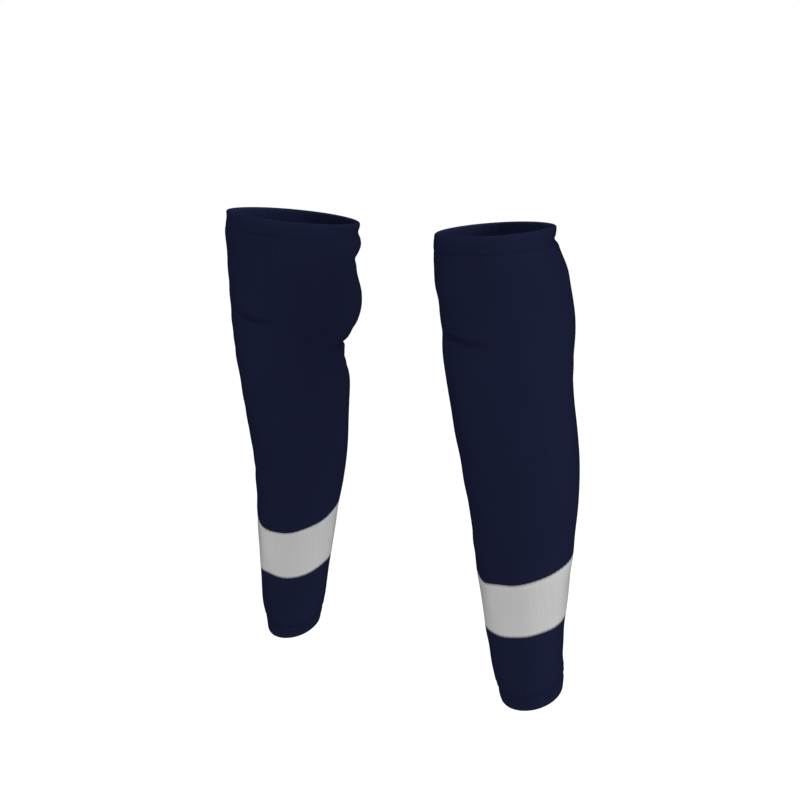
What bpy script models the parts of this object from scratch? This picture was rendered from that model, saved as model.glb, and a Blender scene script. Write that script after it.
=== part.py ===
"""A pair of ice-hockey socks in their worn shape: two cut-and-sewn knit leg tubes, open at both ends.

Units are metres. +Z is up, the wearer faces -Y and the wearer's left is +X. The origin is midway between the
two thigh openings, level with the centre of the right one. Each sock is drawn in its own frame: x points to
the wearer's left, y points backwards, and the height starts at zero at the ankle opening. That frame is then
turned and placed.
"""
import math

import bmesh
import bpy
import numpy as np
from mathutils import Matrix, Vector

# Whole sock
LENGTH = 0.600           # height of a worn sock from ankle opening to thigh opening
ANKLE_OUT = 0.204        # each ankle centre, sideways from the wearer's middle
ANKLE_BACK = 0.0395      # each ankle centre, behind the origin
TOE_OUT = math.radians(20.0)
SEGMENTS = 28            # flats around the leg

# Cloth, hems and threads
CLOTH = 0.0016           # knit fabric
GAP = 0.0003             # clearance between pieces that touch
HEM = 0.020              # height of a folded hem casing
POCKET = 0.0022          # room inside a casing for its elastic
ELASTIC = 0.0012         # thickness of the elastic
ELASTIC_PLAY = 0.0005    # clearance around the elastic in its casing
THREAD_WIDTH = 0.0026    # a coverstitched row, across
THREAD_LIFT = 0.0004     # the row's underside above the cloth
THREAD_HEIGHT = 0.0009   # how far the row stands up
SEAM_WIDTH = 0.0050      # overlocked seam allowance inside the tube
SEAM_LIFT = 0.0008       # the allowance above the inner face of the cloth
SEAM_HEIGHT = 0.0015

# Heights of the joins between the cloth panels
STRIPE_BOTTOM = 0.104
STRIPE_TOP = 0.181
KNEE_BOTTOM = 0.340
KNEE_TOP = 0.500
KNEE_HEIGHT = 0.420      # knee hinge axis
KNEE_BACK = 0.007        # knee hinge axis, behind the ankle centre

# The filled leg at each height: reach in front of and behind the ankle centre, half width and sideways lean
# towards the wearer's middle, then how steeply that level rises towards the wearer's back and outwards.
#           height  front   back    half    lean    back   out
STATIONS = ((0.000, 0.0425, 0.0360, 0.0400, 0.0000, 0.33, 0.06),    # ankle opening
            (0.040, 0.0480, 0.0435, 0.0450, 0.0060, 0.31, 0.05),
            (0.085, 0.0520, 0.0480, 0.0495, 0.0095, 0.29, 0.04),
            (0.155, 0.0560, 0.0580, 0.0580, 0.0130, 0.38, 0.05),    # inside the stripe
            (0.230, 0.0570, 0.0705, 0.0670, 0.0155, 0.42, 0.05),
            (0.300, 0.0660, 0.0720, 0.0725, 0.0205, 0.33, 0.05),    # fullest part of the calf
            (0.360, 0.0820, 0.0695, 0.0745, 0.0285, 0.22, 0.06),
            (0.425, 0.0940, 0.0590, 0.0775, 0.0340, 0.11, 0.08),    # hollow of the knee
            (0.460, 0.0990, 0.0770, 0.0805, 0.0370, 0.06, 0.10),
            (0.495, 0.1030, 0.0845, 0.0805, 0.0395, 0.02, 0.11),    # lower thigh
            (0.540, 0.1085, 0.0710, 0.0795, 0.0455, -0.02, 0.13),
            (0.580, 0.1145, 0.0765, 0.0730, 0.0535, -0.03, 0.13),   # top hem stitching
            (0.600, 0.1110, 0.0690, 0.0700, 0.0560, -0.03, 0.13))   # thigh opening

# The left sock is worn a little differently: above the knee it settles to sit this much lower than the right
# one, and its levels are tipped by these changes of slope.
SETTLE = 0.004
TIP_BACK = 0.08
TIP_OUT = -0.085

COLOURS = {              # base colour (linear), roughness
    "navy_knit": ((0.0095, 0.0110, 0.0330), 0.92),
    "grey_knit": ((0.430, 0.430, 0.430), 0.90),
    "navy_thread": ((0.0070, 0.0080, 0.0260), 0.60),
    "grey_thread": ((0.360, 0.360, 0.360), 0.60),
    "elastic": ((0.620, 0.620, 0.600), 0.75),
}


def clear_scene():
    for thing in list(bpy.data.objects):
        bpy.data.objects.remove(thing, do_unlink=True)


def make_materials():
    made = {}
    for name, (colour, roughness) in COLOURS.items():
        material = bpy.data.materials.new(name)
        material.use_nodes = True
        shader = material.node_tree.nodes["Principled BSDF"]
        shader.inputs["Base Color"].default_value = (*colour, 1.0)
        shader.inputs["Roughness"].default_value = roughness
        shader.inputs["Metallic"].default_value = 0.0
        made[name] = material
    return made


def leg_at(height):
    """Front, back, half width, lean and both slopes at a height, on a smooth curve through the stations."""
    table = np.array(STATIONS)
    at, values = table[:, 0], table[:, 1:]
    tangents = np.gradient(values, at, axis=0)
    i = int(np.clip(np.searchsorted(at, height) - 1, 0, len(at) - 2))
    span = at[i + 1] - at[i]
    t = (height - at[i]) / span
    rise = 3 * t ** 2 - 2 * t ** 3
    leave = t ** 3 - 2 * t ** 2 + t
    arrive = t ** 3 - t ** 2
    smooth = values[i] * (1 - rise) + values[i + 1] * rise
    return smooth + span * (leave * tangents[i] + arrive * tangents[i + 1])


def settled(side, height):
    """How far a level takes up the left sock's own fit: from 0 at the knee panel to 1 in the top hem."""
    if side < 0:
        return 0.0
    t = min(max((height - KNEE_TOP) / (LENGTH - HEM - KNEE_TOP), 0.0), 1.0)
    return 3 * t ** 2 - 2 * t ** 3


def surface_point(side, height, angle, depth):
    """A point of the sock in its own frame. Angle 0 is the front and pi the back; depth goes into the leg."""
    front, back, half, lean, slope_back, slope_out = leg_at(height)
    settle = settled(side, height)
    across = (half - depth) * math.sin(angle)
    along = -((front + back) / 2 - depth) * math.cos(angle)
    towards_back = across * math.sin(TOE_OUT) + along * math.cos(TOE_OUT)
    outwards = across * math.cos(TOE_OUT) - along * math.sin(TOE_OUT)
    level = (slope_back + settle * TIP_BACK) * towards_back + (slope_out + settle * TIP_OUT) * outwards
    return Vector((side * (across - lean), (back - front) / 2 + along, height - settle * SETTLE + level))


class Sock:
    """One sock: the empties that its pieces hang from, and the builders of those pieces."""

    def __init__(self, name, side, materials):
        self.name = name
        self.side = side
        self.materials = materials
        self.thigh = bpy.data.objects.new(f"{name}_thigh_frame", None)
        self.thigh.location = (side * ANKLE_OUT, ANKLE_BACK, -LENGTH)
        self.thigh.rotation_euler = (0.0, 0.0, side * TOE_OUT)
        knee_lean = leg_at(KNEE_HEIGHT)[3]
        self.knee = bpy.data.objects.new(f"{name}_knee_axis", None)
        self.knee.parent = self.thigh
        self.knee.location = (-side * knee_lean, KNEE_BACK, KNEE_HEIGHT)
        for empty in (self.thigh, self.knee):
            bpy.context.collection.objects.link(empty)

    def place(self, bm, name, frame, material):
        """Make a closed mesh drawn in the sock's frame into a node that hangs from one of the empties."""
        bmesh.ops.recalc_face_normals(bm, faces=bm.faces)
        mesh = bpy.data.meshes.new(f"{self.name}_{name}")
        bm.to_mesh(mesh)
        bm.free()
        if frame is self.knee:
            mesh.transform(Matrix.Translation(-Vector(self.knee.location)))
        mesh.shade_smooth()
        mesh.set_sharp_from_angle(angle=math.radians(40))
        mesh.materials.append(self.materials[material])
        node = bpy.data.objects.new(mesh.name, mesh)
        node.parent = frame
        bpy.context.collection.objects.link(node)

    def ring(self, name, frame, outline, material):
        """Sweep a closed outline of (height, depth) corners once around the leg."""
        bm = bmesh.new()
        loops = []
        for step in range(SEGMENTS):
            angle = 2 * math.pi * step / SEGMENTS
            loops.append([bm.verts.new(surface_point(self.side, h, angle, d)) for h, d in outline])
        corners = len(outline)
        for step in range(SEGMENTS):
            here, there = loops[step], loops[(step + 1) % SEGMENTS]
            for k in range(corners):
                following = (k + 1) % corners
                bm.faces.new((here[k], here[following], there[following], there[k]))
        self.place(bm, name, frame, material)

    def panel(self, name, frame, levels, material):
        """A tube of single cloth through a list of heights."""
        outer = [(h, 0.0) for h in levels]
        inner = [(h, CLOTH) for h in reversed(levels)]
        self.ring(name, frame, outer + inner, material)

    def casing(self, name, frame, fold, mouth):
        """A hem: cloth folded at one height, with both layers running to its open mouth at the other."""
        into = math.copysign(CLOTH, mouth - fold)
        layers = (0.0, CLOTH, CLOTH + POCKET, 2 * CLOTH + POCKET)
        outline = [(mouth, layers[0]), (fold, layers[0]), (fold, layers[3]), (mouth, layers[3]),
                   (mouth, layers[2]), (fold + into, layers[2]), (fold + into, layers[1]), (mouth, layers[1])]
        self.ring(name, frame, outline, "navy_knit")

    def elastic(self, name, frame, fold, mouth):
        """The flat elastic that lies loose in a casing."""
        into = math.copysign(1.0, mouth - fold)
        near = fold + into * (CLOTH + ELASTIC_PLAY)
        far = mouth - into * ELASTIC_PLAY
        shallow = CLOTH + ELASTIC_PLAY
        deep = shallow + ELASTIC
        self.ring(name, frame, [(near, shallow), (far, shallow), (far, deep), (near, deep)], "elastic")

    def stitching(self, name, frame, height, material):
        """A row of stitches proud of the cloth, over a join."""
        low, high = height - THREAD_WIDTH / 2, height + THREAD_WIDTH / 2
        under, over = -THREAD_LIFT, -THREAD_LIFT - THREAD_HEIGHT
        self.ring(name, frame, [(low, under), (high, under), (high, over), (low, over)], material)

    def back_seam(self, name, frame, levels):
        """The overlocked seam allowance, a strip up the inside of the cloth at the back."""
        bm = bmesh.new()
        rows = []
        for height in levels:
            half = leg_at(height)[2]
            swing = SEAM_WIDTH / 2 / half
            shallow = CLOTH + SEAM_LIFT
            deep = shallow + SEAM_HEIGHT
            corners = ((-swing, shallow), (swing, shallow), (swing, deep), (-swing, deep))
            rows.append([bm.verts.new(surface_point(self.side, height, math.pi + a, d)) for a, d in corners])
        for here, there in zip(rows, rows[1:]):
            for k in range(4):
                following = (k + 1) % 4
                bm.faces.new((here[k], here[following], there[following], there[k]))
        bm.faces.new(rows[0])
        bm.faces.new(rows[-1])
        self.place(bm, name, frame, "navy_thread")


def levels_between(low, high, count):
    """Evenly spaced heights of a panel that keeps its clearance to the pieces at both ends."""
    return [float(h) for h in np.linspace(low + GAP / 2, high - GAP / 2, count)]


def build_sock(name, side, materials):
    sock = Sock(name, side, materials)
    hem_top = LENGTH - HEM
    thigh_levels = levels_between(KNEE_TOP, hem_top, 4)
    knee_levels = levels_between(KNEE_BOTTOM, KNEE_TOP, 8)
    shin_levels = levels_between(STRIPE_TOP, KNEE_BOTTOM, 6)
    stripe_levels = levels_between(STRIPE_BOTTOM, STRIPE_TOP, 4)
    ankle_levels = levels_between(HEM, STRIPE_BOTTOM, 4)

    sock.casing("top_hem", sock.thigh, LENGTH, hem_top + GAP / 2)
    sock.elastic("top_elastic", sock.thigh, LENGTH, hem_top + GAP / 2)
    sock.stitching("top_hem_stitching", sock.thigh, hem_top, "navy_thread")
    sock.panel("thigh_panel", sock.thigh, thigh_levels, "navy_knit")
    sock.back_seam("back_seam_upper", sock.thigh, thigh_levels[:-1] + [hem_top - 2 * GAP])
    sock.panel("knee_panel", sock.thigh, knee_levels, "navy_knit")

    sock.panel("shin_panel", sock.knee, shin_levels, "navy_knit")
    sock.stitching("stripe_upper_stitching", sock.knee, STRIPE_TOP, "grey_thread")
    sock.panel("stripe_band", sock.knee, stripe_levels, "grey_knit")
    sock.stitching("stripe_lower_stitching", sock.knee, STRIPE_BOTTOM, "grey_thread")
    sock.panel("ankle_panel", sock.knee, ankle_levels, "navy_knit")
    sock.stitching("ankle_hem_stitching", sock.knee, HEM, "navy_thread")
    sock.casing("ankle_hem", sock.knee, 0.0, HEM - GAP / 2)
    sock.elastic("ankle_elastic", sock.knee, 0.0, HEM - GAP / 2)
    seam_levels = [HEM + 2 * GAP] + ankle_levels[1:] + stripe_levels + shin_levels
    sock.back_seam("back_seam_lower", sock.knee, seam_levels)


def main():
    clear_scene()
    materials = make_materials()
    build_sock("left", 1, materials)
    build_sock("right", -1, materials)


main()
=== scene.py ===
"""Looks of a pair of ice-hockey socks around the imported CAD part: cloth, elastic hems, seams and stitches.

Metres and degrees throughout. A sock is described by a height above its ankle opening, an angle around the
leg (0 at the front, positive towards the wearer's outer side, 180 at the back) and a depth into the leg from
the outer face. Side 1 is the wearer's left sock and side -1 the right one.
"""
import math
import random

import bpy
import numpy as np
from mathutils import Matrix, Vector


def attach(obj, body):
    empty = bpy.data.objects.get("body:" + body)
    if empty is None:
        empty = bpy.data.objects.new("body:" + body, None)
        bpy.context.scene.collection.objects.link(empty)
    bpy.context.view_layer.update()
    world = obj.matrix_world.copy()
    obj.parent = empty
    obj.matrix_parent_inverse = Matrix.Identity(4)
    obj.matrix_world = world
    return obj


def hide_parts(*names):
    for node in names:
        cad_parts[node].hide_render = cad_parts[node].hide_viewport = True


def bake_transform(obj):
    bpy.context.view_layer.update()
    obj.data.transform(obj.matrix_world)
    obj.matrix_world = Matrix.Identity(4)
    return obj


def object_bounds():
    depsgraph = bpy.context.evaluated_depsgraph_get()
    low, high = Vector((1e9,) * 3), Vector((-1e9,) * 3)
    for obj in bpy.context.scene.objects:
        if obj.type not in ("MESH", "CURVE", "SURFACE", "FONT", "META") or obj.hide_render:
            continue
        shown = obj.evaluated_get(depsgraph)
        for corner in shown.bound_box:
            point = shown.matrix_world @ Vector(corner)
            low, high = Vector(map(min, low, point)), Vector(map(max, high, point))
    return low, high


# Sizes of the part
LENGTH = 0.600           # height of a worn sock from ankle opening to thigh opening
ANKLE_OUT = 0.204        # each ankle centre, sideways from the wearer's middle
ANKLE_BACK = 0.0395      # each ankle centre, behind the origin
TOE_OUT = math.radians(20.0)    # each leg is turned outwards by this
CLOTH = 0.0016           # thickness of the knit fabric
HEM = 0.020              # height of a folded hem casing
POCKET = 0.0022          # room inside a casing for its elastic
ELASTIC = 0.0012         # thickness of the elastic
ELASTIC_PLAY = 0.0005    # clearance around the elastic in its casing
SEAM_WIDTH = 0.0050      # overlocked seam allowance inside the tube
SEAM_LIFT = 0.0008       # the allowance above the inner face of the cloth
SEAM_HEIGHT = 0.0015
STRIPE_BOTTOM = 0.104
STRIPE_TOP = 0.181
KNEE_TOP = 0.500
TOP_STITCH = LENGTH - HEM

# The filled leg: height, front, back, half width, lean, rise towards the back, rise outwards
STATIONS = np.array((
    (0.000, 0.0425, 0.0360, 0.0400, 0.0000, 0.33, 0.06),
    (0.040, 0.0480, 0.0435, 0.0450, 0.0060, 0.31, 0.05),
    (0.085, 0.0520, 0.0480, 0.0495, 0.0095, 0.29, 0.04),
    (0.155, 0.0560, 0.0580, 0.0580, 0.0130, 0.38, 0.05),
    (0.230, 0.0570, 0.0705, 0.0670, 0.0155, 0.42, 0.05),
    (0.300, 0.0660, 0.0720, 0.0725, 0.0205, 0.33, 0.05),
    (0.360, 0.0820, 0.0695, 0.0745, 0.0285, 0.22, 0.06),
    (0.425, 0.0940, 0.0590, 0.0775, 0.0340, 0.11, 0.08),
    (0.460, 0.0990, 0.0770, 0.0805, 0.0370, 0.06, 0.10),
    (0.495, 0.1030, 0.0845, 0.0805, 0.0395, 0.02, 0.11),
    (0.540, 0.1085, 0.0710, 0.0795, 0.0455, -0.02, 0.13),
    (0.580, 0.1145, 0.0765, 0.0730, 0.0535, -0.03, 0.13),
    (0.600, 0.1110, 0.0690, 0.0700, 0.0560, -0.03, 0.13)))

# The left sock's own fit: how much lower its top sits and the change of its slopes, from the knee panel up
SETTLE = 0.004
TIP_BACK = 0.08
TIP_OUT = -0.085

PUFFED = 0.0010          # how far the fold of the ankle hem puffs out past the end of the sock

# Knit and stitches
WALE = 0.0017            # width of one column of knit loops
COURSE = 0.0013          # height of one row of loops
STITCH = 0.0034          # length of one coverstitch
THREAD = 0.00024         # radius of the sewing thread
NEEDLES = 0.0009         # each needle row from the middle of its seam
SAMPLES = 5              # points along a thread for each stitch
THREAD_SIDES = 5
OVERLOCK = 0.0026        # from one turn of the overlock thread to the next
ALLOWANCE_ROW = 0.0007   # height of a row of faces on the seam allowance
ALLOWANCE_SIDES = 12

# Fold across the front and inner side of each knee: its line as (angle, height) points, and the angles where
# it starts, is full, begins to fade and ends
KNEE_CREASE = {
    1: ((-66, 0.478), (-54, 0.478), (-46, 0.477), (-32, 0.474), (-20, 0.471), (-8, 0.470), (8, 0.469)),
    -1: ((-54, 0.473), (-42, 0.470), (-32, 0.470), (-20, 0.472), (-4, 0.472), (6, 0.476), (16, 0.484))}
KNEE_CREASE_ENDS = {1: (-66, -44, -22, 6), -1: (-54, -26, -12, 8)}
KNEE_FOLD = (0.0048, 0.0034, 0.0018, 0.0100)    # its valley's depth and half width, its lip's height and half

# Creases behind the knee and under the top hem, as (angle, height) points, with angles counted up to 360, and
# the angles where they start, are full, begin to fade and end
BACK_CREASE = ((96, 0.4340), (126, 0.4280), (180, 0.4245), (234, 0.4270), (262, 0.4340))
BACK_CREASE_ENDS = (98, 122, 220, 252)
BACK_CREASE_DEPTH = 0.0062
BACK_CREASE_HALF = 0.0045
MINOR_CREASES = ((0.022, 0.0007), (-0.024, 0.0008), (-0.044, 0.0006))    # height from BACK_CREASE, depth
THIGH_SWELLING = (0.0020, 0.050, 0.022)    # size, height from BACK_CREASE, half height
THIGH_CREASE = ((96, 0.5560), (126, 0.5500), (180, 0.5490), (234, 0.5515), (262, 0.5580))
THIGH_CREASE_ENDS = (100, 130, 216, 250)
THIGH_CREASE_DEPTH = 0.0030
THIGH_CREASE_HALF = 0.0060
HEM_SWELLING = (0.0016, 0.569, 0.008)      # under the top hem at the back: size, height, half height
HEM_SWELLING_ENDS = (120, 150, 210, 240)

# Long soft ridges that run down from the knee, as (height, angle) points, then how far each stands out, its
# half width in degrees and the angle from it to the hollow beside it
RIDGES = (
    (((0.300, -88), (0.348, -82), (0.422, -71), (0.472, -58), (0.500, -50)), 0.0016, 8.0, -17.0),
    (((0.250, 52), (0.318, 46), (0.372, 40), (0.444, 26), (0.510, 18), (0.540, 14)), 0.0013, 9.0, 20.0))

# Dents and swellings of each sock's own fit: angle, half width, height, half height, size
DENTS = {
    1: ((98, 34, 0.549, 0.024, 0.0019), (100, 26, 0.600, 0.009, 0.0042), (100, 30, 0.583, 0.004, -0.0028),
        (100, 30, 0.421, 0.012, 0.0010), (96, 30, 0.176, 0.022, 0.0016), (96, 30, 0.090, 0.022, -0.0012),
        (98, 30, 0.024, 0.010, 0.0014), (-72, 26, 0.563, 0.018, -0.0016), (-74, 24, 0.518, 0.012, -0.0010),
        (-74, 24, 0.405, 0.045, -0.0015), (-70, 26, 0.300, 0.024, 0.0030), (-76, 24, 0.218, 0.012, 0.0014),
        (-72, 24, 0.095, 0.014, 0.0010), (-68, 24, 0.015, 0.006, -0.0018)),
    -1: ((-144, 32, 0.601, 0.009, 0.0050), (-144, 32, 0.585, 0.005, -0.0030), (24, 26, 0.602, 0.009, 0.0034),
         (22, 24, 0.508, 0.014, -0.0018), (22, 22, 0.458, 0.012, 0.0016), (24, 22, 0.420, 0.010, -0.0012),
         (24, 22, 0.340, 0.014, -0.0016), (24, 22, 0.296, 0.014, 0.0012), (26, 22, 0.253, 0.010, -0.0014),
         (28, 22, 0.195, 0.012, 0.0009), (24, 34, 0.010, 0.024, -0.0030), (-146, 30, 0.000, 0.006, 0.0016),
         (-144, 34, 0.115, 0.065, 0.0018), (10, 9, 0.498, 0.018, -0.0010))}

# Where the seams of the stripe sit higher or lower than level: angle, half width, height, how much
DRIFTS = {
    1: ((-59, 25, STRIPE_TOP, -0.0082), (85, 34, STRIPE_TOP, -0.0030), (0, 36, STRIPE_BOTTOM, 0.0016),
        (74, 26, STRIPE_BOTTOM, -0.0020)),
    -1: ((-23, 30, STRIPE_TOP, -0.0034), (-126, 34, STRIPE_TOP, 0.0028), (-6, 20, STRIPE_BOTTOM, 0.0022),
         (-64, 30, STRIPE_BOTTOM, -0.0015), (-124, 24, STRIPE_BOTTOM, 0.0028))}
DRIFT_REACH = 0.028      # half height of the cloth that goes with a drifting seam

# Folds that hang from the top hem: angle, half width, size, height where each fades out
FOLDS = (
    (-150, 7, 0.0008, 0.520), (-126, 5, -0.0008, 0.530), (-104, 6, 0.0010, 0.520), (-96, 3, -0.0010, 0.545),
    (-80, 6, 0.0010, 0.510), (-45, 7, 0.0009, 0.515), (-27, 4, -0.0005, 0.530), (-13, 5, 0.0009, 0.500),
    (-3, 4, -0.0006, 0.505), (5, 4, 0.0006, 0.500), (12, 4, -0.0004, 0.520), (20, 6, 0.0004, 0.500),
    (42, 7, -0.0006, 0.520), (58, 7, 0.0008, 0.505), (88, 8, 0.0009, 0.520), (118, 6, -0.0009, 0.535),
    (140, 7, 0.0011, 0.520), (172, 6, 0.0009, 0.530))
FOLDS_TOP = (0.566, 0.578)    # heights where they begin to fade towards the hem and end
FOLD_SLANT = 60               # degrees around for each metre down

# Seams around the leg: height, puckers around, how far it draws in, size of the puckers, how far they reach
SEAMS = ((HEM, 31, 0.0009, 0.00075, 0.011), (STRIPE_BOTTOM, 44, 0.0005, 0.00016, 0.006),
         (STRIPE_TOP, 52, 0.0005, 0.00016, 0.006), (TOP_STITCH, 58, 0.0004, 0.00030, 0.010))

# Height of a row of faces on plain cloth, in the creased zones of the knee, and within reach of a seam
ROW, CREASE_ROW, SEAM_ROW = 0.0024, 0.0013, 0.0008
CREASED = ((0.412, 0.444), (0.455, 0.500))
SEAM_REACH = 0.0045

# Columns of faces around the leg: how many there are, and how wide the finer ones beside the back seam are
# and how far they reach from it, in degrees
PLAIN_COLUMNS = 179
SEAM_COLUMN, SEAM_COLUMNS_REACH = 0.5, 3.0

# Gathers between a hem's stitches and its fold: how many around the leg, and how far they stand out
TOP_GATHERS = (58, 0.0004)
ANKLE_GATHERS = (31, 0.0007)

# Camera, floor and light
AZIMUTH, PITCH = 36.24, 11.90       # the camera looks along +Y at azimuth 0, and down by its pitch
LENS, SENSOR = 57.09, 36.0          # millimetres
AIM = Vector((0.0, 0.026, -0.300))  # middle of the socks, and the camera's place from it
CAMERA_AWAY, CAMERA_RIGHT, CAMERA_UP = 1.6973, 0.0004, 0.0603
FLOOR_BELOW = 0.250                 # the socks hang on legs, so the floor is this far under the ankles
FLOOR_RADIUS = 30.0
KEY_AIM = Vector((0.0, 0.03, -0.30))
KEY_AWAY, KEY_RIGHT, KEY_UP = 2.0, 6.0, 2.0
KEY_SIZE, KEY_WATTS = 3.2, 143.0


# ---------------------------------------------------------------- shape of the leg

def bell(x, half):
    return np.exp(-(x / half) ** 2)


def ramp(x, low, high):
    t = np.clip((x - low) / (high - low), 0.0, 1.0)
    return t * t * (3 - 2 * t)


def between(x, start, full, fading, end):
    """1 from full to fading, and soft slopes down to 0 at the start and the end."""
    return ramp(x, start, full) * (1 - ramp(x, fading, end))


def turn(angle, centre):
    """Signed difference between two angles in degrees."""
    return (angle - centre + 180.0) % 360.0 - 180.0


def leg_at(height):
    """Front, back, half width, lean and both slopes, for an array of heights, along the last axis."""
    at, values = STATIONS[:, 0], STATIONS[:, 1:]
    tangents = np.gradient(values, at, axis=0)
    i = np.clip(np.searchsorted(at, height) - 1, 0, len(at) - 2)
    span = (at[i + 1] - at[i])[..., None]
    t = (height - at[i])[..., None] / span
    rise = 3 * t ** 2 - 2 * t ** 3
    leave = t ** 3 - 2 * t ** 2 + t
    arrive = t ** 3 - t ** 2
    smooth = values[i] * (1 - rise) + values[i + 1] * rise
    return smooth + span * (leave * tangents[i] + arrive * tangents[i + 1])


def skin(side, height, angle, depth):
    """World positions of points of a sock, for arrays that broadcast together. Angles in degrees."""
    height, angle, depth = np.broadcast_arrays(*(np.asarray(x, float) for x in (height, angle, depth)))
    front, back, half, lean, slope_back, slope_out = np.moveaxis(leg_at(height), -1, 0)
    turned = np.radians(angle)
    across = (half - depth) * np.sin(turned)
    along = -((front + back) / 2 - depth) * np.cos(turned)
    towards_back = across * math.sin(TOE_OUT) + along * math.cos(TOE_OUT)
    outwards = across * math.cos(TOE_OUT) - along * math.sin(TOE_OUT)
    x = side * (across - lean)
    y = (back - front) / 2 + along
    for centre, wide, middle, size in DRIFTS[side]:
        height = height + size * bell(turn(angle, centre), wide) * bell(height - middle, DRIFT_REACH)
    settle = ramp(height, KNEE_TOP, TOP_STITCH) if side > 0 else 0.0
    z = height - settle * SETTLE + (slope_back + settle * TIP_BACK) * towards_back
    z = z + (slope_out + settle * TIP_OUT) * outwards
    c, s = math.cos(side * TOE_OUT), math.sin(side * TOE_OUT)
    return np.stack((side * ANKLE_OUT + x * c - y * s, ANKLE_BACK + x * s + y * c, z - LENGTH), axis=-1)


def line_at(x, line):
    """A line of (x, y) points at each x."""
    return np.interp(x, [p[0] for p in line], [p[1] for p in line])


def fold(away, deep, half, lip, lip_half):
    """Profile across a fold: a valley at zero with a lip above it and a softer one below."""
    valley = -deep * bell(away, half)
    above = lip * bell(away - half - 0.6 * lip_half, lip_half)
    below = 0.45 * lip * bell(away + half + 0.9 * lip_half, lip_half)
    return valley + above + below


def make_waves(seed):
    """Random broad undulations of the cloth: waves around the leg, phase, waves per metre up it, size."""
    draw = random.Random(seed)
    waves = []
    for around in range(1, 10):
        for _ in range(2):
            size = 0.00055 / (1 + 0.35 * around)
            waves.append((around, draw.uniform(0, 2 * math.pi), draw.uniform(-14, 14), size))
    return waves


WAVES = {1: make_waves(11), -1: make_waves(23)}


def relief(side, height, angle):
    """How far the cloth stands out of the plain leg shape, in metres."""
    angle = turn(angle, 0.0)
    behind = angle % 360.0
    out = np.zeros(np.broadcast(height, angle).shape)

    # broad softness of the cloth, calm at the hems
    calm = between(height, 0.0, 0.05, 0.565, LENGTH)
    for around, phase, upwards, size in WAVES[side]:
        out = out + calm * size * np.sin(around * np.radians(angle) + phase + 2 * math.pi * upwards * height)

    # fold across the front and inner side of the knee
    ends = between(angle, *KNEE_CREASE_ENDS[side])
    out = out + ends * fold(height - line_at(angle, KNEE_CREASE[side]), *KNEE_FOLD)

    # creases in the hollow of the knee, with the back of the thigh swelling above the deepest one
    ends = between(behind, *BACK_CREASE_ENDS)
    away = height - line_at(behind, BACK_CREASE)
    size, lift, tall = THIGH_SWELLING
    out = out + ends * (size * bell(away - lift, tall) - BACK_CREASE_DEPTH * bell(away, BACK_CREASE_HALF))
    for lift, size in MINOR_CREASES:
        wobble = 0.004 * np.sin(np.radians(behind) * 3 + 40 * lift)
        out = out - ends * size * bell(away - lift - wobble, BACK_CREASE_HALF)

    # crease at the back of the thigh, just under the hem
    ends = between(behind, *THIGH_CREASE_ENDS)
    away = height - line_at(behind, THIGH_CREASE)
    out = out - ends * THIGH_CREASE_DEPTH * bell(away, THIGH_CREASE_HALF)

    # dents and swellings of each sock's own fit
    for centre, wide, middle, tall, size in DENTS[side]:
        out = out + size * bell(turn(angle, centre), wide) * bell(height - middle, tall)

    # long soft ridges that run down from the knee, each with a hollow beside it
    for line, size, width, gap in RIDGES:
        middle = line_at(height, line)
        low, high = line[0][0], line[-1][0]
        ends = between(height, low - 0.03, low + 0.05, high - 0.03, high)
        out = out + ends * size * bell(turn(angle, middle), width)
        out = out - ends * 1.1 * size * bell(turn(angle, middle + gap), width * 1.1)

    # folds that hang from the top hem
    for centre, width, size, bottom in FOLDS:
        ends = between(height, bottom, bottom + 0.035, *FOLDS_TOP)
        out = out + ends * size * bell(turn(angle, centre + FOLD_SLANT * (FOLDS_TOP[1] - height)), width)

    # the cloth swells just under the top hem at the back
    size, middle, tall = HEM_SWELLING
    out = out + between(behind, *HEM_SWELLING_ENDS) * size * bell(height - middle, tall)

    # seams draw the cloth in, with small puckers beside them
    for seam, puckers, pinch, size, reach in SEAMS:
        beside = height - seam
        ripple = np.cos(puckers * np.radians(angle) + 2.2 * np.sin(5 * np.radians(angle) + seam * 90))
        out = out - pinch * bell(beside, 0.0022)
        out = out + size * ripple * bell(beside, reach) * (1 - 0.6 * bell(beside, 0.0020))

    # the back seam draws it in too, along the middle of the back
    half = leg_at(np.asarray(height, float))[..., 2]
    arc = np.radians(turn(angle, 180.0)) * half
    ends = between(height, HEM - 0.004, HEM + 0.004, TOP_STITCH - 0.004, TOP_STITCH + 0.004)
    out = out - ends * 0.0008 * bell(arc, 0.0013)
    out = out + ends * 0.00035 * bell(arc, 0.0060) * np.cos(2 * math.pi * height / 0.011)
    return out


# ---------------------------------------------------------------- meshes

def levels(low, high):
    """Heights from low to high, closer together at the knee's creases and closest at the seams."""
    rows = [low]
    while rows[-1] < high:
        at = rows[-1]
        step = ROW
        if any(start < at < end for start, end in CREASED):
            step = CREASE_ROW
        if min(abs(at - seam[0]) for seam in SEAMS) < SEAM_REACH:
            step = SEAM_ROW
        rows.append(at + step)
    rows = np.array(rows)
    return low + (rows - low) * (high - low) / (rows[-1] - low)


def columns():
    """Angles around the leg from the back seam to the back seam, closer together beside it."""
    last = 180.0 - SEAM_COLUMNS_REACH
    fine = np.arange(-180.0, -last, SEAM_COLUMN)
    plain = np.linspace(-last, last, PLAIN_COLUMNS)
    return np.concatenate((fine, plain, -fine[::-1]))[:-1]


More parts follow.
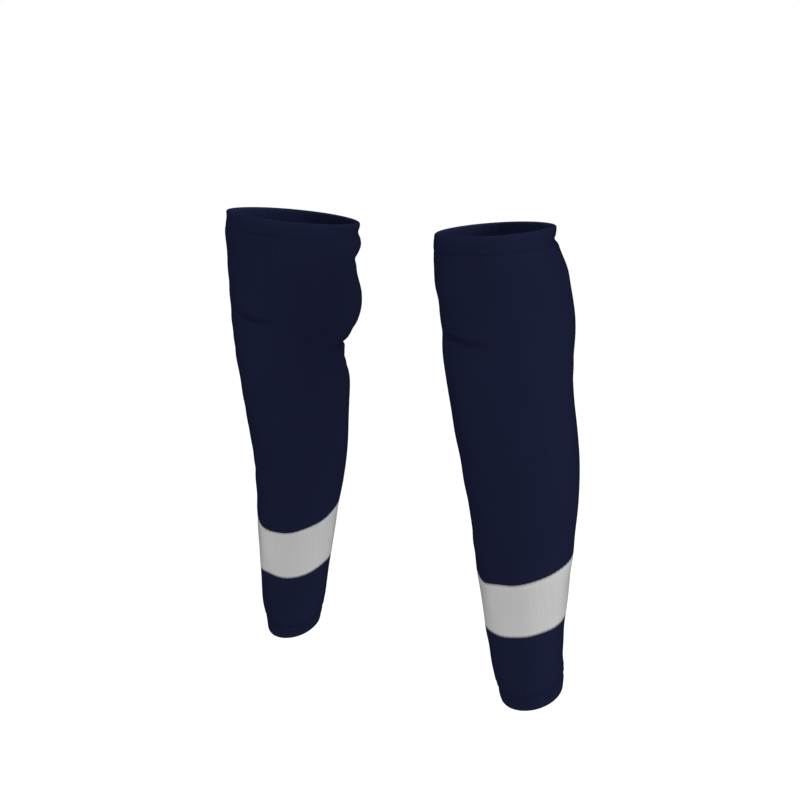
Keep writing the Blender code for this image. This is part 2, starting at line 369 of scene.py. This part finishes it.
class Shell:
    """A mesh built from tubes swept around or along the leg."""

    def __init__(self):
        self.points = []
        self.faces = []
        self.uvs = []
        self.wear = []
        self.inside = []
        self.count = 0

    def sweep(self, grid, closed, across, along, wear=0.0, inside=0.0):
        """grid is (steps, corners, 3): a closed outline at each step. across and along are the knit
        coordinates of every corner, with one more step and one more corner than the grid where it wraps.
        wear and inside say how rubbed the cloth is and how far it shows its reverse face, from 0 to 1. The
        reverse face is painted lighter, a painted light against the shade inside the socks."""
        steps, corners = grid.shape[:2]
        index = self.count + np.arange(steps * corners).reshape(steps, corners)
        last = steps if closed else steps - 1
        i, k = np.meshgrid(np.arange(last), np.arange(corners), indexing="ij")
        i, k = i.ravel(), k.ravel()
        i2, k2 = (i + 1) % steps, (k + 1) % corners
        quads = np.stack((index[i, k], index[i, k2], index[i2, k2], index[i2, k]), axis=1)
        table = np.stack(np.broadcast_arrays(across, along), axis=-1)
        corners_uv = np.stack((table[i, k], table[i, k + 1], table[i + 1, k + 1], table[i + 1, k]), axis=1)
        flat = grid.reshape(-1, 3)
        if volume(flat, quads - self.count) < 0:
            quads = quads[:, ::-1]
            corners_uv = corners_uv[:, ::-1]
        self.points.append(flat)
        self.faces.extend(map(tuple, quads))
        self.uvs.append(corners_uv.reshape(-1, 2))
        self.wear.append(np.broadcast_to(wear, (steps, corners)).ravel())
        self.inside.append(np.broadcast_to(inside, (steps, corners)).ravel())
        if not closed:
            for step, order in ((0, 1), (steps - 1, -1)):
                ring = index[step][::order]
                self.faces.append(tuple(ring))
                self.uvs.append(np.tile(table[step, 0], (corners, 1)))
        self.count += steps * corners

    def make(self, name, material):
        mesh = bpy.data.meshes.new(name)
        faces = [tuple(int(v) for v in face) for face in self.faces]
        mesh.from_pydata(np.concatenate(self.points).tolist(), [], faces)
        layer = mesh.uv_layers.new(name="knit")
        layer.data.foreach_set("uv", np.concatenate(self.uvs).astype(np.float32).ravel())
        # inside marks the reverse faces, which the knit material paints lighter: painted light against the
        # shade inside the socks
        for layer_name, values in (("wear", self.wear), ("inside", self.inside)):
            layer = mesh.attributes.new(layer_name, "FLOAT", "POINT")
            layer.data.foreach_set("value", np.concatenate(values).astype(np.float32))
        mesh.materials.append(material)
        mesh.shade_smooth()
        mesh.set_sharp_from_angle(angle=math.radians(55))
        thing = bpy.data.objects.new(name, mesh)
        bpy.context.collection.objects.link(thing)
        return thing


def volume(points, quads):
    """Signed volume of a closed surface of quads."""
    a, b, c, d = (points[quads[:, j]] for j in range(4))
    return float(np.einsum("ij,ij->", a, np.cross(b, c)) + np.einsum("ij,ij->", a, np.cross(c, d)))


def around_leg(side, outline, angles, puff=None):
    """An outline of (height, depth) corners swept around the leg, with its knit coordinates.

    The knit runs straight up the front, so its columns are counted as arc length from there and are cut off
    at the back seam."""
    heights = np.array([h for h, _ in outline])[None, :]
    depths = np.array([d for _, d in outline])[None, :]
    turned = angles[:, None]
    out = relief(side, heights, turned)
    if puff is not None:
        out = out + puff(heights, depths, turned)
    grid = skin(side, heights, turned, depths - out)
    closing = np.concatenate((grid, grid[:1]))
    lengths = np.linalg.norm(np.diff(closing, axis=0), axis=-1)
    across = np.concatenate((np.zeros((1, grid.shape[1])), np.cumsum(lengths, axis=0)))
    front = int(np.argmin(np.abs(angles)))
    across = across - across[front]
    across = np.concatenate((across, across[:, :1]), axis=1)
    ring = np.concatenate((grid[front], grid[front][:1]))
    along = np.concatenate(([0.0], np.cumsum(np.linalg.norm(np.diff(ring, axis=0), axis=-1))))
    return grid, across, along[None, :]


def panel(side, low, high, wear):
    """A tube of single cloth."""
    rows = levels(low, high)
    outline = [(h, 0.0) for h in rows] + [(h, CLOTH) for h in rows[::-1]]
    grid, across, along = around_leg(side, outline, columns())
    there = along[0, :len(rows)]
    along = np.concatenate((there, there[::-1], there[:1]))[None, :]
    shell = Shell()
    heights, depths = (np.array(values)[None, :] for values in zip(*outline))
    # the inner face is marked inside and painted lighter by the knit material: painted light against the
    # shade in the tube
    shell.sweep(grid, True, across, along, wear(heights, columns()[:, None]), depths > CLOTH / 2)
    return shell


def casing(side, folded, mouth):
    """A hem: the cloth turned in at the folded height and run back to the mouth, round at the fold."""
    up = math.copysign(1.0, folded - mouth)
    outer = CLOTH + POCKET / 2
    inner = POCKET / 2
    centre = folded - up * outer
    straight = np.linspace(mouth, centre, 9)
    bend = np.linspace(0.0, math.pi, 11)
    outline = [(h, 0.0) for h in straight]
    outline += [(centre + up * outer * math.sin(a), outer - outer * math.cos(a)) for a in bend[1:-1]]
    outline += [(h, 2 * outer) for h in straight[::-1]]
    outline += [(h, 2 * outer - CLOTH) for h in straight]
    outline += [(centre + up * inner * math.sin(a), outer + inner * math.cos(a)) for a in bend[1:-1]]
    outline += [(h, CLOTH) for h in straight[::-1]]
    waves, size = TOP_GATHERS if up > 0 else ANKLE_GATHERS

    def puff(heights, depths, turned):
        """Gathers between the stitches and the fold, on the outer layer only."""
        amid = np.clip((heights - mouth) / (centre - mouth), 0.0, 1.0)
        gather = 0.5 + 0.5 * np.cos(waves * np.radians(turned) + 1.7 * np.sin(4 * np.radians(turned)))
        return size * gather * np.sin(math.pi * amid) ** 0.8 * (depths < outer)

    grid, across, along = around_leg(side, outline, columns(), puff)
    shell = Shell()
    heights, depths = (np.array(values)[None, :] for values in zip(*outline))
    wear = ramp(np.abs(heights - mouth), 0.010, 0.020)
    # the inner layers are marked inside and painted lighter by the knit material: painted light against the
    # shade in the opening
    shell.sweep(grid, True, across, along, wear, ramp(depths, 0.0, 0.0040))
    return shell


def elastic_band(side, folded, mouth):
    """The flat elastic inside a hem."""
    up = math.copysign(1.0, folded - mouth)
    near = folded - up * (CLOTH + POCKET / 2 + 0.0002)
    far = mouth + up * ELASTIC_PLAY
    shallow = CLOTH + ELASTIC_PLAY
    rows = np.linspace(near, far, 9)
    outline = [(h, shallow) for h in rows] + [(h, shallow + ELASTIC) for h in rows[::-1]]
    grid, across, along = around_leg(side, outline, columns())
    shell = Shell()
    shell.sweep(grid, True, across, along)
    return shell


def thread(shell, side, height, stitches, phase, sway, level, rise):
    """One sewing thread around the leg. It sways up and down, its level is counted outwards from the outer
    face of the cloth, and it rises from there once a stitch."""
    samples = SAMPLES * stitches
    angles = np.linspace(-180.0, 180.0, samples, endpoint=False)
    beat = stitches * np.radians(angles) + phase
    middle = height + sway * np.sign(np.sin(beat)) * np.abs(np.sin(beat)) ** 0.6
    lift = level + rise * np.abs(np.cos(beat / 2 if sway == 0 else beat)) ** 0.5
    around = np.linspace(0.0, 2 * math.pi, THREAD_SIDES, endpoint=False)
    heights = middle[:, None] + THREAD * np.cos(around)[None, :]
    out = lift[:, None] + THREAD * np.sin(around)[None, :] + relief(side, middle, angles)[:, None]
    grid = skin(side, heights, angles[:, None], -out)
    length = np.arange(samples + 1) * STITCH / SAMPLES
    shell.sweep(grid, True, length[:, None], np.arange(THREAD_SIDES + 1)[None, :] / THREAD_SIDES)


def coverstitch(side, height, looped_outside):
    """Two needle rows around the leg, with a looper thread inside and, where looped_outside, one outside."""
    angles = np.linspace(-180.0, 180.0, 361)
    ring = skin(side, height, angles, 0.0)
    girth = np.linalg.norm(np.diff(ring, axis=0), axis=-1).sum()
    stitches = int(round(girth / STITCH / 2)) * 2
    shell = Shell()
    loops = stitches // 2
    for row in (-NEEDLES, NEEDLES):
        thread(shell, side, height + row, stitches, 0.0, sway=0.0, level=-0.00025, rise=0.00040)
    if looped_outside:
        thread(shell, side, height, loops, 0.4, sway=NEEDLES, level=0.00022, rise=0.00020)
    thread(shell, side, height, loops, 1.1, sway=NEEDLES, level=-CLOTH - 0.00030, rise=0.00018)
    return shell


def back_seam(side, low, high):
    """The overlocked seam allowance up the inside of the back, wrapped in its thread."""
    rows = np.arange(low, high, ALLOWANCE_ROW)
    half = leg_at(rows)[:, 2]
    corners = np.linspace(0.0, 2 * math.pi, ALLOWANCE_SIDES, endpoint=False)
    wide = SEAM_WIDTH / 2 * np.sign(np.cos(corners)) * np.abs(np.cos(corners)) ** 0.6
    tall = SEAM_HEIGHT / 2 * np.sign(np.sin(corners)) * np.abs(np.sin(corners)) ** 0.6
    wrap = 0.5 + 0.5 * np.cos(2 * math.pi * (rows[:, None] / OVERLOCK + 0.12 * np.cos(corners)[None, :]))
    swell = 1.0 - 0.16 * wrap
    swing = np.degrees(wide[None, :] * swell / half[:, None])
    depths = CLOTH + SEAM_LIFT + SEAM_HEIGHT / 2 + tall[None, :] * swell
    out = relief(side, rows, 180.0)
    grid = skin(side, rows[:, None], 180.0 + swing, depths - out[:, None])
    shell = Shell()
    shell.sweep(grid, False, np.arange(ALLOWANCE_SIDES + 1)[None, :] * 0.001, rows[:, None])
    return shell


# ---------------------------------------------------------------- materials

class Nodes:
    """Short hand for a material's node tree."""

    def __init__(self, name):
        self.material = bpy.data.materials.new(name)
        self.material.use_nodes = True
        self.tree = self.material.node_tree
        self.shader = self.tree.nodes["Principled BSDF"]

    def add(self, kind, **settings):
        node = self.tree.nodes.new(kind)
        for key, value in settings.items():
            setattr(node, key, value)
        return node

    def join(self, source, target):
        self.tree.links.new(source, target)

    def math(self, operation, a, b=None, c=None):
        node = self.add("ShaderNodeMath", operation=operation)
        for slot, value in zip(node.inputs, (a, b, c)):
            if value is None:
                continue
            if isinstance(value, (int, float)):
                slot.default_value = value
            else:
                self.join(value, slot)
        return node.outputs[0]

    def noise(self, scale, detail=2.0, vector=None):
        node = self.add("ShaderNodeTexNoise")
        node.inputs["Scale"].default_value = scale
        node.inputs["Detail"].default_value = detail
        if vector is None:
            vector = self.add("ShaderNodeTexCoord").outputs["Object"]
        self.join(vector, node.inputs["Vector"])
        return node.outputs["Fac"]

    def knit_coordinates(self):
        where = self.add("ShaderNodeUVMap", uv_map="knit")
        split = self.add("ShaderNodeSeparateXYZ")
        self.join(where.outputs[0], split.inputs[0])
        return split.outputs[0], split.outputs[1]

    def tint(self, colour, factor):
        """The base colour times a factor that varies over the surface."""
        mix = self.add("ShaderNodeMix", data_type="RGBA", blend_type="MULTIPLY")
        mix.inputs["Factor"].default_value = 1.0
        mix.inputs["A"].default_value = (*colour, 1.0)
        grey = self.add("ShaderNodeCombineColor")
        for slot in grey.inputs:
            self.join(factor, slot)
        self.join(grey.outputs[0], mix.inputs["B"])
        self.join(mix.outputs["Result"], self.shader.inputs["Base Color"])

    def bump(self, height, distance, strength):
        node = self.add("ShaderNodeBump")
        node.inputs["Distance"].default_value = distance
        node.inputs["Strength"].default_value = strength
        self.join(height, node.inputs["Height"])
        self.join(node.outputs[0], self.shader.inputs["Normal"])


def knit_material(name, colour, contrast, inner, painted_edge_shade):
    """Plain jersey: columns of V-shaped loops, a little uneven, with a soft dry surface. The reverse face is
    painted inner times as light, a painted light against the shade inside the socks, and cloth seen edge-on
    is painted darker by the last factor, a painted shade at the silhouettes."""
    n = Nodes(name)
    across, along = n.knit_coordinates()
    drift = n.math("MULTIPLY", n.math("SUBTRACT", n.noise(38.0), 0.5), 0.9)
    column = n.math("ADD", n.math("DIVIDE", across, WALE), drift)
    row = n.math("ADD", n.math("DIVIDE", along, COURSE), drift)
    beside = n.math("MULTIPLY", n.math("ABSOLUTE", n.math("SUBTRACT", n.math("FRACT", column), 0.5)), 2.0)
    slanted = n.math("ADD", row, n.math("MULTIPLY", beside, 0.85))
    wave = n.math("SINE", n.math("MULTIPLY", slanted, 2 * math.pi))
    loop = n.math("ADD", n.math("MULTIPLY", wave, 0.5), 0.5)
    groove = n.math("SUBTRACT", 1.0, n.math("POWER", beside, 3.0))
    rounded = n.math("MULTIPLY", groove, n.math("ADD", n.math("MULTIPLY", loop, 0.55), 0.45))

    fuzz = n.noise(2600.0, 3.0)
    streak_at = n.add("ShaderNodeCombineXYZ")
    n.join(n.math("MULTIPLY", across, 420.0), streak_at.inputs[0])
    n.join(n.math("MULTIPLY", along, 9.0), streak_at.inputs[1])
    streaks = n.noise(1.0, 1.0, streak_at.outputs[0])
    clouds = n.noise(14.0, 3.0)
    worn = n.add("ShaderNodeAttribute", attribute_name="wear").outputs["Fac"]
    patch = n.math("MULTIPLY", worn, n.math("ADD", n.math("MULTIPLY", n.noise(260.0, 3.0), 0.8), 0.3))

    factor = n.math("ADD", n.math("MULTIPLY", rounded, contrast), 1.0 - contrast / 2)
    for source, share in ((fuzz, 0.10), (streaks, 0.10), (clouds, 0.12)):
        factor = n.math("ADD", factor, n.math("MULTIPLY", n.math("SUBTRACT", source, 0.5), share))
    factor = n.math("ADD", factor, n.math("MULTIPLY", patch, 0.16))
    # painted light: the reverse face, inside the socks, is made lighter against the shade that falls there
    inside = n.add("ShaderNodeAttribute", attribute_name="inside").outputs["Fac"]
    factor = n.math("MULTIPLY", factor, n.math("ADD", n.math("MULTIPLY", inside, inner - 1.0), 1.0))
    # painted shade: cloth seen edge-on is darkened, standing in for the shading at the silhouettes
    edge_on = n.add("ShaderNodeLayerWeight").outputs["Facing"]
    painted_edge_darkening = n.math("MULTIPLY", n.math("POWER", edge_on, 2.5), painted_edge_shade)
    factor = n.math("MULTIPLY", factor, n.math("SUBTRACT", 1.0, painted_edge_darkening))
    n.tint(colour, factor)
    height = n.math("ADD", rounded, n.math("MULTIPLY", fuzz, 0.35))
    n.bump(height, 0.00045, 0.55)
    rough = n.math("ADD", n.math("MULTIPLY", fuzz, 0.10), n.math("MULTIPLY", patch, 0.04))
    n.join(n.math("ADD", rough, 0.84), n.shader.inputs["Roughness"])
    n.shader.inputs["Specular IOR Level"].default_value = 0.0
    return n.material


def thread_material(name, colour, shine):
    """Twisted polyester sewing thread."""
    n = Nodes(name)
    across, along = n.knit_coordinates()
    twist = n.math("ADD", n.math("DIVIDE", across, 0.0007), along)
    ply = n.math("ADD", n.math("MULTIPLY", n.math("SINE", n.math("MULTIPLY", twist, 2 * math.pi)), 0.5), 0.5)
    factor = n.math("ADD", n.math("MULTIPLY", ply, 0.30), n.math("MULTIPLY", n.noise(900.0), 0.20))
    n.tint(colour, n.math("ADD", factor, 0.78))
    n.bump(ply, 0.00012, 0.6)
    n.join(n.math("ADD", n.math("MULTIPLY", ply, -0.10), 0.62), n.shader.inputs["Roughness"])
    n.shader.inputs["Specular IOR Level"].default_value = shine
    return n.material


def elastic_material(name, colour):
    """Braided elastic tape: narrow ribs along its length, crossed by fine picks."""
    n = Nodes(name)
    across, along = n.knit_coordinates()
    ribs = n.math("ABSOLUTE", n.math("SINE", n.math("DIVIDE", along, 0.0006)))
    picks = n.math("ABSOLUTE", n.math("SINE", n.math("DIVIDE", across, 0.0004)))
    weave = n.math("MULTIPLY", ribs, n.math("ADD", n.math("MULTIPLY", picks, 0.4), 0.6))
    factor = n.math("ADD", n.math("MULTIPLY", weave, 0.25), n.math("MULTIPLY", n.noise(300.0), 0.15))
    n.tint(colour, n.math("ADD", factor, 0.76))
    n.bump(weave, 0.0003, 0.7)
    n.join(n.math("ADD", n.math("MULTIPLY", weave, 0.12), 0.66), n.shader.inputs["Roughness"])
    n.shader.inputs["Specular IOR Level"].default_value = 0.3
    return n.material


# ---------------------------------------------------------------- the socks

def shin_wear(heights, angles):
    """Rubbed cloth over the kneecap and beside the upper seams."""
    knee = bell(heights - 0.440, 0.045) * bell(turn(angles, -8.0), 38.0)
    seams = bell(heights - STRIPE_TOP, 0.005) + bell(heights - TOP_STITCH, 0.005)
    return np.clip(0.45 * knee + 0.5 * seams, 0.0, 1.0)


def low_wear(heights, angles):
    """Rubbed cloth beside the lower seams."""
    seams = sum(bell(heights - seam[0], 0.005) for seam in SEAMS[:3])
    return np.broadcast_to(np.clip(0.5 * seams, 0.0, 1.0), np.broadcast(heights, angles).shape)


def dress(piece, body, node):
    """Put a finished piece on its body, in the place of its CAD node."""
    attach(piece, body)
    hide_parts(node)
    return piece


def build_sock(name, side, looks):
    thigh, shin = f"{name}_thigh", f"{name}_shin"

    upper = panel(side, STRIPE_TOP, TOP_STITCH, shin_wear).make(f"{name}_leg_cloth", looks["navy_knit"])
    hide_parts(f"{name}_thigh_panel", f"{name}_knee_panel", f"{name}_shin_panel")
    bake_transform(upper)

    seam = back_seam(side, HEM + 0.001, TOP_STITCH - 0.001).make(f"{name}_back_seam", looks["navy_thread"])
    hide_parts(f"{name}_back_seam_upper", f"{name}_back_seam_lower")
    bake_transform(seam)

    for piece, shell, body, slot, node in (
            ("top_hem_cloth", casing(side, LENGTH, TOP_STITCH), thigh, "navy_knit", "top_hem"),
            ("top_elastic_band", elastic_band(side, LENGTH, TOP_STITCH), thigh, "elastic", "top_elastic"),
            ("top_hem_threads", coverstitch(side, TOP_STITCH, False), thigh, "navy_thread",
             "top_hem_stitching"),
            ("stripe_cloth", panel(side, STRIPE_BOTTOM, STRIPE_TOP, low_wear), shin, "grey_knit",
             "stripe_band"),
            ("stripe_upper_threads", coverstitch(side, STRIPE_TOP, True), shin, "grey_thread",
             "stripe_upper_stitching"),
            ("stripe_lower_threads", coverstitch(side, STRIPE_BOTTOM, True), shin, "grey_thread",
             "stripe_lower_stitching"),
            ("ankle_cloth", panel(side, HEM, STRIPE_BOTTOM, low_wear), shin, "navy_knit", "ankle_panel"),
            ("ankle_hem_threads", coverstitch(side, HEM, False), shin, "navy_thread", "ankle_hem_stitching"),
            ("ankle_hem_cloth", casing(side, -PUFFED, HEM), shin, "navy_knit", "ankle_hem"),
            ("ankle_elastic_band", elastic_band(side, 0.0, HEM), shin, "elastic", "ankle_elastic")):
        thing = shell.make(f"{name}_{piece}", looks[slot])
        dress(thing, body, f"{name}_{node}")


# ---------------------------------------------------------------- camera, floor and light

def look():
    """Right, forward and up of the camera."""
    a, p = math.radians(AZIMUTH), math.radians(PITCH)
    right = Vector((math.cos(a), math.sin(a), 0.0))
    forward = Vector((-math.sin(a) * math.cos(p), math.cos(a) * math.cos(p), -math.sin(p)))
    return right, forward, right.cross(forward)


def make_camera():
    right, forward, up = look()
    data = bpy.data.cameras.new("camera")
    data.sensor_width = SENSOR
    data.lens = LENS
    data.clip_start, data.clip_end = 0.05, 100.0
    camera = bpy.data.objects.new("camera", data)
    place = AIM - forward * CAMERA_AWAY + right * CAMERA_RIGHT + up * CAMERA_UP
    turned = Matrix((right, up, -forward)).transposed()
    camera.matrix_world = Matrix.Translation(place) @ turned.to_4x4()
    bpy.context.collection.objects.link(camera)
    bpy.context.scene.camera = camera


def make_key_light():
    """One large soft lamp, to the right of the camera and above it."""
    right, forward, up = look()
    data = bpy.data.lights.new("key", "AREA")
    data.shape = "DISK"
    data.size = KEY_SIZE
    data.energy = KEY_WATTS
    lamp = bpy.data.objects.new("key", data)
    lamp.location = KEY_AIM - forward * KEY_AWAY + right * KEY_RIGHT + up * KEY_UP
    lamp.rotation_mode = "QUATERNION"
    lamp.rotation_quaternion = (KEY_AIM - lamp.location).to_track_quat("-Z", "Y")
    bpy.context.collection.objects.link(lamp)


def make_floor(height):
    mesh = bpy.data.meshes.new("floor")
    turns = np.linspace(0, 2 * math.pi, 64, endpoint=False)
    rim = [(FLOOR_RADIUS * math.cos(a), FLOOR_RADIUS * math.sin(a), height) for a in turns]
    mesh.from_pydata(rim, [], [tuple(range(len(rim)))])
    n = Nodes("floor")
    n.shader.inputs["Base Color"].default_value = (1.0, 1.0, 1.0, 1.0)
    n.shader.inputs["Roughness"].default_value = 0.95
    n.shader.inputs["Specular IOR Level"].default_value = 0.0
    mesh.materials.append(n.material)
    floor = bpy.data.objects.new("floor", mesh)
    bpy.context.collection.objects.link(floor)


def make_world():
    """Even white light from all around."""
    world = bpy.data.worlds.new("world")
    world.use_nodes = True
    background = world.node_tree.nodes["Background"]
    background.inputs["Color"].default_value = (1.0, 1.0, 1.0, 1.0)
    background.inputs["Strength"].default_value = 1.0
    bpy.context.scene.world = world


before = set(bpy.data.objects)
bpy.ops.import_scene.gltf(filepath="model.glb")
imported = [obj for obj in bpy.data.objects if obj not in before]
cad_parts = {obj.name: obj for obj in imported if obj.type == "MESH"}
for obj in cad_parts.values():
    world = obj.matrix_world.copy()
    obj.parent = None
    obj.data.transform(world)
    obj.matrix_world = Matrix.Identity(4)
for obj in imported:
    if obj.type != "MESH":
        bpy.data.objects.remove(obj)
cad_box = [list(corner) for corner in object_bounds()]
make_camera()
looks = {
    # fourth number of a knit: its reverse face painted that many times as light, a painted light against the
    # shade inside
    # last number of a knit: how much painted shade darkens cloth seen edge-on
    "navy_knit": knit_material("navy_knit_look", (0.0086, 0.0107, 0.0292), 0.30, 1.85, 0.45),
    "grey_knit": knit_material("grey_knit_look", (0.435, 0.435, 0.435), 0.16, 1.0, 0.60),
    "navy_thread": thread_material("navy_thread_look", (0.0078, 0.0097, 0.0266), 0.0),
    "grey_thread": thread_material("grey_thread_look", (0.340, 0.340, 0.340), 0.35),
    "elastic": elastic_material("elastic_look", (0.620, 0.620, 0.600)),
}
build_sock("left", 1, looks)
build_sock("right", -1, looks)

make_floor(cad_box[0][2] - FLOOR_BELOW)
make_world()
make_key_light()
bpy.context.scene.view_settings.view_transform = "Standard"
